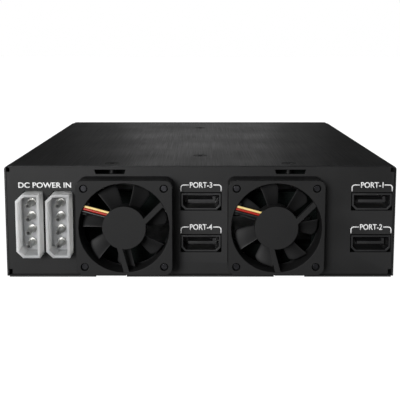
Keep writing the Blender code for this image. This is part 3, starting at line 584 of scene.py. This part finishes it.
def refine_nodes():
    """Finishes every CAD node, and rounds the edges of those in REFINED."""
    for node in NODES:
        finish_node(node)
        for start, width in REFINED.items():
            if node.startswith(start):
                refine(node, width, FINISHES.get(start))


# ---------------------------------------------------------------- fans

BLADES = 7
BLADE_STARTS = {1: 11.5, 2: -5.3}  # degrees from +X to the first blade, on each fan
BLADE_ROWS = 14  # from root to tip
BLADE_COLUMNS = 18  # from the leading to the trailing edge
BLADE_HALF_THICKNESS = 0.33 * MM
TIP_RADIUS = 15.8 * MM
TIP_ROUNDING = 1.3 * MM
HUB_RADIUS = 7.8 * MM
ROOT_DEPTH = 0.5 * MM  # how far a blade runs into the cup
HALF_CHORD, HALF_CHORD_LOSS = 15, 1.8  # degrees about the axis: at the root, and lost by the tip
HALF_PITCH, HALF_PITCH_LOSS = 2.45, 0.5  # mm along the axis: at the root, and lost by the tip
SWEEP = 1.5  # degrees, from +X towards +Z, that the tip is turned past the root
CAMBER = 0.5 * MM
OPEN_END_INSET = 0.3 * MM  # from the CAD rotor's rear end to the cup's rim
CUP_SKIN = 1.0 * MM
CUP_BEND = 1.0 * MM
CUP_BEND_STEPS = 6
CUP_RIM_CHAMFER = 0.15 * MM
SHAFT_RADIUS = 0.8 * MM
BOSS_WALL = 1.2 * MM
BOSS_HEIGHT = 0.6 * MM  # out from the cup's inner face
SHAFT_SOCKET_DEPTH = 0.7 * MM  # into the cup's inner face

LEAD_ANGLE = math.radians(165)  # from +X to the strut that carries the wires
LEAD_OFFSET = 2.95 * MM  # from the fan's axis to the middle wire
WIRE_START = 3.9 * MM  # along the strut from the axis
WIRE_TURN = 17.0 * MM  # along the strut, where the wires dive to the board
WIRE_BEND = 1.0 * MM
WIRE_BEND_STEPS = 8
WIRE_MIDDLE = 0.5 * MM  # from the flat lead's outer face
WIRE_RADIUS = 0.43 * MM
WIRE_PITCH = 0.93 * MM
WIRE_FINISHES = ("wire_yellow", "lead_wires", "wire_black")


def blade_point(axis, start, middle_y, side, out, chord):
    """A point on one side of a blade, out from 0 to 1 and along the chord from -1 to 1."""
    # The leading edge is the far one, and its tip is rounded off.
    tip = TIP_RADIUS - TIP_ROUNDING * max(0, -chord) ** 3
    radius = (HUB_RADIUS - ROOT_DEPTH) * (1 - out) + tip * out
    half_angle = math.radians(HALF_CHORD - HALF_CHORD_LOSS * out)
    angle = start + chord * half_angle + math.radians(SWEEP) * out * out
    half_pitch = HALF_PITCH - HALF_PITCH_LOSS * out
    y = middle_y - chord * half_pitch * MM + CAMBER * (1 - chord * chord)
    taper = (1 - chord**6) ** 0.5 * (1 - out**10) ** 0.5
    return (
        axis.x + radius * math.cos(angle),
        y + side * BLADE_HALF_THICKNESS * taper,
        axis.z + radius * math.sin(angle),
    )


def blade(bm, axis, start, middle_y):
    """Adds one twisted, cambered blade with rounded edges to bm."""
    # The chord's steps crowd towards the edges, where the thickness tapers off.
    chords = [-math.cos(math.pi * j / BLADE_COLUMNS) for j in range(BLADE_COLUMNS + 1)]
    outs = [i / BLADE_ROWS for i in range(BLADE_ROWS + 1)]
    sides = [
        [
            [bm.verts.new(blade_point(axis, start, middle_y, side, out, chord)) for chord in chords]
            for out in outs
        ]
        for side in (-1, 1)
    ]
    for grid, turn in zip(sides, (1, -1)):
        for near, far in zip(grid, grid[1:]):
            for j in range(BLADE_COLUMNS):
                bm.faces.new([near[j], near[j + 1], far[j + 1], far[j]][::turn])
    low, high = sides
    bm.faces.new(low[0] + high[0][::-1])
    bmesh.ops.remove_doubles(bm, verts=bm.verts, dist=WELD)


def cup_profile(open_y, closed_y):
    """The (radius, y) points of a rotor's cup, from its closed end round its rim to the shaft."""
    inner_y = closed_y - CUP_SKIN
    boss = SHAFT_RADIUS + BOSS_WALL
    corner = []
    for i in range(CUP_BEND_STEPS + 1):
        a = math.radians(90 * i / CUP_BEND_STEPS)
        radius = HUB_RADIUS - CUP_BEND + CUP_BEND * math.sin(a)
        corner.append((radius, closed_y - CUP_BEND + CUP_BEND * math.cos(a)))
    return [
        (0, closed_y), *corner,
        (HUB_RADIUS, open_y + CUP_RIM_CHAMFER), (HUB_RADIUS - CUP_RIM_CHAMFER, open_y),
        (HUB_RADIUS - CUP_SKIN, open_y), (HUB_RADIUS - CUP_SKIN, inner_y),
        (boss, inner_y), (boss, inner_y - BOSS_HEIGHT),
        (SHAFT_RADIUS, inner_y - BOSS_HEIGHT), (SHAFT_RADIUS, inner_y + SHAFT_SOCKET_DEPTH),
        (0, inner_y + SHAFT_SOCKET_DEPTH),
    ]


def make_rotor(number):
    """The cup with its blades, in place of the plain rotor."""
    low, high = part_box(f"fan_rotor_{number}")
    axis = (low + high) / 2
    body = BODY_OF[f"fan_rotor_{number}"]
    open_y = low.y + OPEN_END_INSET
    profile = cup_profile(open_y, high.y)
    cup = turned(f"rotor_cup_{number}", profile, axis, body, "fan_plastic", "rotor_plastic_lit")
    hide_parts(f"fan_rotor_{number}")
    for index in range(BLADES):
        bm = bmesh.new()
        start = math.radians(360 * index / BLADES + BLADE_STARTS[number])
        blade(bm, axis, start, (open_y + high.y) / 2)
        name = f"rotor_blade_{number}_{index + 1}"
        place(name, mesh_from(name, bm), body, "fan_plastic", "rotor_plastic_lit")


def make_wires(number):
    """Three round wires, side by side, from the motor's base to the board, for the flat lead."""
    frame_low, frame_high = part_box(f"fan_frame_{number}")
    axis = (frame_low + frame_high) / 2
    lead_low, lead_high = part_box(f"fan_lead_{number}")
    along = Vector((math.cos(LEAD_ANGLE), 0, math.sin(LEAD_ANGLE)))
    across = Vector((-math.sin(LEAD_ANGLE), 0, math.cos(LEAD_ANGLE)))
    outer_y = lead_low.y + WIRE_MIDDLE
    straight_end = WIRE_TURN - WIRE_BEND
    route = [(WIRE_START, outer_y), (straight_end, outer_y)]
    for i in range(1, WIRE_BEND_STEPS + 1):
        a = math.radians(90 * i / WIRE_BEND_STEPS)
        out = straight_end + WIRE_BEND * math.sin(a)
        route.append((out, outer_y + WIRE_BEND - WIRE_BEND * math.cos(a)))
    route.append((WIRE_TURN, lead_high.y))
    for index, finish in enumerate(WIRE_FINISHES):
        middle = axis + across * ((index - 1) * WIRE_PITCH - LEAD_OFFSET)
        points = []
        for out, y in route:
            at = middle + along * out
            points.append((at.x, y, at.z))
        name = f"fan_wire_{number}_{index + 1}"
        wire = tube(name, points, WIRE_RADIUS, "case", "lead_wires", finish)
        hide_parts(f"fan_lead_{number}")


# ---------------------------------------------------------------- connectors

PINS = 4
PIN_RADIUS = 1.05 * MM
PIN_BORE = 0.55 * MM  # radius
PIN_PITCH = 5.08 * MM
PIN_NOSE = (  # (in from the pin's radius, along from its tip)
    (0, 1.2 * MM), (0.12 * MM, 0.6 * MM), (0.35 * MM, 0.1 * MM), (0.45 * MM, 0)
)
PIN_BORE_DEPTH = 2.2 * MM
PIN_BORE_CONE = 0.4 * MM  # on past the bore's depth
PIN_PAINTED_SHADE = (0.25 * MM, 1.5 * MM)  # from the tip: where the black plug in the bore, which is painted shade, starts and ends
STRIP_THICKNESS = 0.6 * MM
COLLAR_RADIUS = 1.7 * MM
COLLAR_HEIGHT = 0.5 * MM
COLLAR_CHAMFER = 0.2 * MM
COLLAR_OVERLAP = 0.05 * MM  # into the pin
COLLAR_ROOT = 0.1 * MM  # into the inlet's floor
INLET_DEPTH = 8.6 * MM  # from the rim to the floor
CONTACT_PITCH = 1.27 * MM
DATA_CONTACTS = 7
SOCKET_ROWS = ((-17.6 * MM, 15), (6.4 * MM, 7))  # (first contact from the middle, contacts)


def make_power_pins(number):
    """Four hollow pins with collars on a strip, in place of the plain ones, with a black plug of
    painted shade in each bore.
    """
    low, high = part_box(f"power_pins_{number}")
    centre = (low + high) / 2
    strip_y = high.y - STRIP_THICKNESS
    strip_box = ((low.x, strip_y, low.z), high)
    strip = blocks(f"power_strip_{number}", [strip_box], "case", "tin_plate", edge=0.1 * MM)
    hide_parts(f"power_pins_{number}")
    tip = low.y
    root = strip_y + 0.2 * MM  # inside the strip
    floor_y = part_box(f"power_inlet_{number}")[0].y + INLET_DEPTH
    collar_low, collar_high = floor_y - COLLAR_HEIGHT, floor_y + COLLAR_ROOT
    collar_inner = PIN_RADIUS - COLLAR_OVERLAP
    pin = [
        (0, root), (PIN_RADIUS, root),
        *((PIN_RADIUS - inward, tip + along) for inward, along in PIN_NOSE),
        (PIN_BORE, tip + 0.05 * MM), (PIN_BORE, tip + PIN_BORE_DEPTH),
        (0, tip + PIN_BORE_DEPTH + PIN_BORE_CONE),
    ]
    collar = [
        (collar_inner, collar_high), (COLLAR_RADIUS, collar_high),
        (COLLAR_RADIUS, collar_low + COLLAR_CHAMFER), (COLLAR_RADIUS - COLLAR_CHAMFER, collar_low),
        (collar_inner, collar_low), (collar_inner, collar_high),
    ]
    # A black plug inside each pin's bore is painted shade: it darkens the deep hole.
    shade_low, shade_high = (tip + along for along in PIN_PAINTED_SHADE)
    dark = [(0, shade_low), (PIN_BORE, shade_low), (PIN_BORE, shade_high), (0, shade_high)]
    pieces = (
        ("power_pin", pin, "pin_metal"),
        ("pin_collar", collar, "pin_metal"),
        ("pin_shade_plug", dark, "wire_black"),
    )
    for index in range(PINS):
        at = Vector((centre.x, 0, centre.z + (index - (PINS - 1) / 2) * PIN_PITCH))
        for start, profile, finish in pieces:
            name = f"{start}_{number}_{index + 1}"
            turned(name, profile, at, "case", "tin_plate", finish, SMALL_TURNED_STEPS)


def make_port_contacts(number):
    """Seven contacts under the tongue of a data port."""
    low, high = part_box(f"data_port_{number}")
    centre = (low + high) / 2
    half_width, from_mouth, to_mouth = 0.3 * MM, 2.1 * MM, 8.6 * MM
    proud, sunk = 0.08 * MM, 0.1 * MM
    row_offset = 0.2 * MM
    tongue_low = centre.z - 0.5 * MM
    boxes = []
    for index in range(DATA_CONTACTS):
        x = centre.x + row_offset + (index - (DATA_CONTACTS - 1) / 2) * CONTACT_PITCH
        boxes.append((
            (x - half_width, low.y + from_mouth, tongue_low - proud),
            (x + half_width, low.y + to_mouth, tongue_low + sunk),
        ))
    name = f"port_contacts_{number}"
    blocks(name, boxes, "case", "tin_plate", "contact_gold", edge=0.04 * MM)


def make_socket_contacts(number):
    """Contacts along the two slots of a drive socket."""
    low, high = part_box(f"drive_socket_{number}")
    centre = (low + high) / 2
    half_width, from_mouth, to_mouth = 0.25 * MM, 0.5 * MM, 5.6 * MM
    under, over = 0.78 * MM, 0.6 * MM  # below the socket's middle
    boxes = []
    for first, count in SOCKET_ROWS:
        for index in range(count):
            x = centre.x + first + index * CONTACT_PITCH
            boxes.append((
                (x - half_width, high.y - to_mouth, centre.z - under),
                (x + half_width, high.y - from_mouth, centre.z - over),
            ))
    name = f"socket_contacts_{number}"
    blocks(name, boxes, "case", "tin_plate", "contact_gold", edge=0.03 * MM)


CHIPS = ((-12 * MM, 25.3 * MM), (12 * MM, 25.3 * MM))  # (x, z)
CHIP_HALF = 2.6 * MM
CHIP_HEIGHT, CHIP_STANDOFF = 1.0 * MM, 0.1 * MM  # its far and near face, over the board
CHIP_LEGS = 8  # on each side
CHIP_LEG_PITCH = 0.6 * MM
CHIP_LEG_SIZE = (0.13 * MM, 0.45 * MM)  # half its width, and its height over the board
CHIP_LEG_ENDS = (-0.1 * MM, 0.7 * MM)  # from the chip's edge
CAPACITORS = 9
CAPACITOR_PITCH = 4.2 * MM
CAPACITOR_HALF = 0.5 * MM
CAPACITOR_HEIGHT = 0.8 * MM
CAPACITOR_ROW = 4.0 * MM  # over the board's lower edge
CAP_END = (0.45 * MM, 0.8 * MM)  # from the middle: where a metal end starts and stops
CAP_END_PROUD = 0.02 * MM


def chip_legs(x, z, rear):
    """Boxes for the legs along the top and the bottom of a chip on the board's rear face."""
    half_width, height = CHIP_LEG_SIZE
    legs = []
    for side in (-1, 1):
        for index in range(CHIP_LEGS):
            leg_x = x + (index - (CHIP_LEGS - 1) / 2) * CHIP_LEG_PITCH
            ends = [z + side * (CHIP_HALF + past) for past in CHIP_LEG_ENDS]
            legs.append((
                (leg_x - half_width, rear - height, min(ends)),
                (leg_x + half_width, rear, max(ends)),
            ))
    return legs


def make_board_parts():
    """Two chips with legs, and a row of small capacitors, on the board's rear side."""
    board_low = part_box("backplane_board")[0]
    rear = board_low.y
    for number, (x, z) in enumerate(CHIPS, 1):
        low = (x - CHIP_HALF, rear - CHIP_HEIGHT, z - CHIP_HALF)
        high = (x + CHIP_HALF, rear - CHIP_STANDOFF, z + CHIP_HALF)
        name = f"board_chip_{number}"
        blocks(name, [(low, high)], "case", "circuit_board", "connector_black", edge=0.12 * MM)
        legs = chip_legs(x, z, rear)
        name = f"board_legs_{number}"
        blocks(name, legs, "case", "circuit_board", "tin_plate", edge=0.03 * MM)
    caps, ends = [], []
    half, tall = CAPACITOR_HALF, CAPACITOR_HEIGHT
    end_half, end_tall = half + CAP_END_PROUD, tall + CAP_END_PROUD
    z = board_low.z + CAPACITOR_ROW
    for index in range(CAPACITORS):
        x = (index - (CAPACITORS - 1) / 2) * CAPACITOR_PITCH
        caps.append(((x - half, rear - tall, z - half), (x + half, rear, z + half)))
        for side in (-1, 1):
            across = [x + side * out for out in CAP_END]
            low = (min(across), rear - end_tall, z - end_half)
            ends.append((low, (max(across), rear, z + end_half)))
    blocks("board_capacitors", caps, "case", "circuit_board", "capacitor_tan", edge=0.06 * MM)
    blocks("board_capacitor_ends", ends, "case", "circuit_board", "tin_plate", edge=0.06 * MM)


# ---------------------------------------------------------------- print on the rear panel

BRACKET_HALF_WIDTH = 7.5 * MM
BRACKET_CORNER = 1.0 * MM
BRACKET_CORNER_STEPS = 6
BRACKET_TOP, BRACKET_BOTTOM = 3.1 * MM, 0.75 * MM  # above its port
LINE_HALF_WIDTH = 0.2 * MM
LABEL_SIZE = (8.4 * MM, 2.2 * MM)
LABEL_GAP = 0.35 * MM
POWER_LABEL_SIZE = (19.7 * MM, 2.1 * MM)
POWER_LABEL_HEIGHT = 2.5 * MM  # from the inlets' top to the label's middle


def bracket_half(x, top, bottom, side):
    """One half of a bracket's path: up its leg, round its corner and in to the label."""
    edge = x + side * BRACKET_HALF_WIDTH
    path = [(edge, bottom), (edge, top - BRACKET_CORNER)]
    for i in range(1, BRACKET_CORNER_STEPS + 1):
        a = math.radians(90 * i / BRACKET_CORNER_STEPS)
        inward = side * BRACKET_CORNER * (1 - math.cos(a))
        path.append((edge - inward, top - BRACKET_CORNER * (1 - math.sin(a))))
    path.append((x + side * (LABEL_SIZE[0] / 2 + LABEL_GAP), top))
    return path


def make_panel_print():
    """A bracket and a label over each data port, and one label over both power inlets."""
    for number in (1, 2, 3, 4):
        low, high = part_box(f"data_port_{number}")
        x = (low.x + high.x) / 2
        top = high.z + BRACKET_TOP
        bm = bmesh.new()
        for side in (-1, 1):
            path = bracket_half(x, top, high.z + BRACKET_BOTTOM, side)
            ribbon(bm, path, LINE_HALF_WIDTH, PANEL_Y - INK_THICKNESS, PANEL_Y + INK_THICKNESS)
        name = f"port_bracket_{number}"
        place(name, mesh_from(name, bm), "case", "panel_black", "white_ink")
        at = (x, PANEL_Y, top)
        lettering(f"port_label_{number}", f"PORT-{number}", at, LABEL_SIZE, -1, "case")
    inlets = [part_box(f"power_inlet_{number}") for number in (1, 2)]
    x = (inlets[0][0].x + inlets[1][1].x) / 2
    z = inlets[0][1].z + POWER_LABEL_HEIGHT
    lettering("power_label", "DC POWER IN", (x, PANEL_Y, z), POWER_LABEL_SIZE, -1, "case")


# ---------------------------------------------------------------- trays

BAY_DIGIT_HEIGHT = 2.2 * MM
BAY_DIGIT_DROP = 2.6 * MM  # below the button
LIGHT_PIPE_OFFSET = 2.0 * MM  # to each side of the button's middle
LIGHT_PIPE_RISE = 2.3 * MM  # above the button
LIGHT_PIPE_PROFILE = (  # (radius, height over the tray's front)
    (0, -1.5 * MM), (0.7 * MM, -1.5 * MM), (0.7 * MM, 0.05 * MM),
    (0.62 * MM, 0.2 * MM), (0.35 * MM, 0.32 * MM), (0, 0.36 * MM),
)
GRIP_RIDGES = 3
GRIP_PITCH = 1.1 * MM
GRIP_HALF_WIDTH = 0.3 * MM
GRIP_HALF_LENGTH = 4.2 * MM
GRIP_ROOT = 0.3 * MM  # into the lever
GRIP_HEIGHT = 0.4 * MM  # out of the lever


def make_tray_trim(number):
    """Two light pipes and a printed bay number on a tray's front, and a grip on its lever."""
    button_low, button_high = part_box(f"release_button_{number}")
    body = BODY_OF[f"tray_front_{number}"]
    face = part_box(f"tray_front_{number}")[1].y
    middle = (button_low + button_high) / 2
    profile = [(radius, face + height) for radius, height in LIGHT_PIPE_PROFILE]
    for index, side in enumerate((-1, 1), 1):
        at = Vector((middle.x + side * LIGHT_PIPE_OFFSET, 0, button_high.z + LIGHT_PIPE_RISE))
        name = f"light_pipe_{number}_{index}"
        turned(name, profile, at, body, "button_smoke", "light_pipe", SMALL_TURNED_STEPS)
    at = (middle.x, face, button_low.z - BAY_DIGIT_DROP)
    size = (None, BAY_DIGIT_HEIGHT)
    lettering(f"bay_number_{number}", str(number), at, size, 1, body, "frame_plastic")
    lever_low, lever_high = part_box(f"latch_lever_{number}")
    lever_body = BODY_OF[f"latch_lever_{number}"]
    z = (lever_low.z + lever_high.z) / 2
    ridges = []
    for index in range(GRIP_RIDGES):
        x = lever_low.x + (1 + index) * GRIP_PITCH
        ridges.append((
            (x - GRIP_HALF_WIDTH, lever_high.y - GRIP_ROOT, z - GRIP_HALF_LENGTH),
            (x + GRIP_HALF_WIDTH, lever_high.y + GRIP_HEIGHT, z + GRIP_HALF_LENGTH),
        ))
    blocks(f"lever_grip_{number}", ridges, lever_body, "lever_plastic", edge=0.25 * MM)


# ---------------------------------------------------------------- everything

make_materials()
refine_nodes()
for number in (1, 2):
    make_rotor(number)
    make_wires(number)
    make_power_pins(number)
for number in (1, 2, 3, 4):
    make_port_contacts(number)
    make_socket_contacts(number)
    make_tray_trim(number)
make_board_parts()
make_panel_print()


# ---------------------------------------------------------------- camera and light

LENS = 72.7  # mm, on a sensor 36 mm wide
SHIFT = -0.125
CAMERA_SIDE = -0.1 * MM  # from the middle
CAMERA_BACK = 296.5 * MM  # from the rear panel
CAMERA_RISE = 46.1 * MM  # over the cover
CAMERA_PITCH = math.radians(7.68)  # below the horizontal
ROOM_LIGHT = 0.13
ROOM_SHADE = 0.01
FLOOR_RADIUS = 4
FLOOR_GAP = 0.05 * MM
FLOOR_GLOW = 0.95
CARD_SIZE = 0.22
SHEEN = ((0.18, 0.46), (0.36, 0.46), (0.62, 0.12))  # (width in metres, radiance)
SHEEN_HEIGHT = 0.34
WHITE = (1, 1, 1, 1)


def aim(obj, target):
    """Turns a light's or camera's -Z towards the target."""
    obj.rotation_mode = "QUATERNION"
    direction = Vector(target) - obj.location
    obj.rotation_quaternion = direction.to_track_quat("-Z", "Y")


def add_camera():
    """Behind the rear panel and above the cover, looking a little down."""
    data = bpy.data.cameras.new("camera")
    camera = bpy.data.objects.new("camera", data)
    bpy.context.scene.collection.objects.link(camera)
    data.sensor_width = 36
    data.lens = LENS
    data.shift_y = SHIFT
    data.clip_start = 0.01
    camera.location = (CAMERA_SIDE, PANEL_Y - CAMERA_BACK, TOP_Z + CAMERA_RISE)
    camera.rotation_euler = (math.radians(90) - CAMERA_PITCH, 0, 0)
    bpy.context.scene.camera = camera


def area_light(name, location, target, width, height, radiance):
    """A rectangle of even light, aimed at the target."""
    data = bpy.data.lights.new(name, "AREA")
    data.shape = "RECTANGLE"
    data.size, data.size_y = width, height
    data.energy = radiance * math.pi * width * height
    light = bpy.data.objects.new(name, data)
    bpy.context.scene.collection.objects.link(light)
    light.location = location
    aim(light, target)


def sun(name, toward, strength, softness):
    """Light that travels toward a direction, from a disc softness degrees wide."""
    data = bpy.data.lights.new(name, "SUN")
    data.energy = strength
    data.angle = math.radians(softness)
    light = bpy.data.objects.new(name, data)
    bpy.context.scene.collection.objects.link(light)
    light.location = -Vector(toward)
    aim(light, (0, 0, 0))


def camera_only(tree):
    """1 for a camera ray and 0 for light on its way round the scene."""
    return tree.nodes.new("ShaderNodeLightPath").outputs["Is Camera Ray"]


def add_floor():
    """White paper that shows white, and throws little light up at the object."""
    bm = bmesh.new()
    bmesh.ops.create_circle(bm, cap_ends=True, segments=96, radius=FLOOR_RADIUS)
    floor = bpy.data.objects.new("floor", mesh_from("floor", bm))
    bpy.context.scene.collection.objects.link(floor)
    floor.location.z = BOTTOM_Z - FLOOR_GAP
    tree, shader = new_material("floor_paper")
    grain = noise(tree, object_coords(tree), scale=400, detail=3)
    colour = ramp(tree, grain, low=(0.3, 0.3, 0.3), high=(0.33, 0.33, 0.33))
    tree.links.new(colour, shader.inputs["Base Color"])
    shader.inputs["Roughness"].default_value = 0.9
    shader.inputs["Specular IOR Level"].default_value = 0.1
    shader.inputs["Emission Color"].default_value = WHITE
    glow = tree.nodes.new("ShaderNodeMath")
    glow.operation = "MULTIPLY"
    glow.inputs[1].default_value = FLOOR_GLOW
    tree.links.new(camera_only(tree), glow.inputs[0])
    tree.links.new(glow.outputs["Value"], shader.inputs["Emission Strength"])
    floor.data.materials.append(MATERIALS["floor_paper"])


def add_world():
    """A white backdrop to look at, and a dim room to reflect, darker towards the object's front."""
    world = bpy.data.worlds.new("room")
    bpy.context.scene.world = world
    world.use_nodes = True
    tree = world.node_tree
    room = tree.nodes["Background"]
    room.inputs["Color"].default_value = WHITE
    direction = tree.nodes.new("ShaderNodeSeparateXYZ")
    coords = tree.nodes.new("ShaderNodeTexCoord")
    tree.links.new(coords.outputs["Generated"], direction.inputs["Vector"])
    strength = spread(tree, direction.outputs["Y"], ROOM_LIGHT, ROOM_SHADE, start=-0.3, end=0.6)
    tree.links.new(strength, room.inputs["Strength"])
    backdrop = tree.nodes.new("ShaderNodeBackground")
    backdrop.inputs["Color"].default_value = WHITE
    mix = tree.nodes.new("ShaderNodeMixShader")
    tree.links.new(camera_only(tree), mix.inputs["Fac"])
    tree.links.new(room.outputs["Background"], mix.inputs[1])
    tree.links.new(backdrop.outputs["Background"], mix.inputs[2])
    tree.links.new(mix.outputs["Shader"], tree.nodes["World Output"].inputs["Surface"])


def add_lights():
    """A key and a card from the left rear, fills for the front and the sides, and a top sheen."""
    sun("key", toward=(0.32, 1.0, -0.24), strength=1.7, softness=15)
    card_at, card_target = (-0.14, -0.42, 0.13), (-0.05, -0.08, 0.02)
    area_light("left_card", card_at, card_target, CARD_SIZE, CARD_SIZE, radiance=3.6)
    for side in (-1, 1):
        sun("front_fill", toward=(side * 0.8, -0.75, -0.16), strength=2.2, softness=25)
        sun("side_fill", toward=(side, 0.04, -0.04), strength=0.7, softness=15)
    sheen_at, sheen_target = (0, 1.6, 0.24), (0, 0, 0.04)
    for width, radiance in SHEEN:
        area_light("top_sheen", sheen_at, sheen_target, width, SHEEN_HEIGHT, radiance)


bpy.context.scene.view_settings.view_transform = "Standard"
add_camera()
add_floor()
add_world()
add_lights()
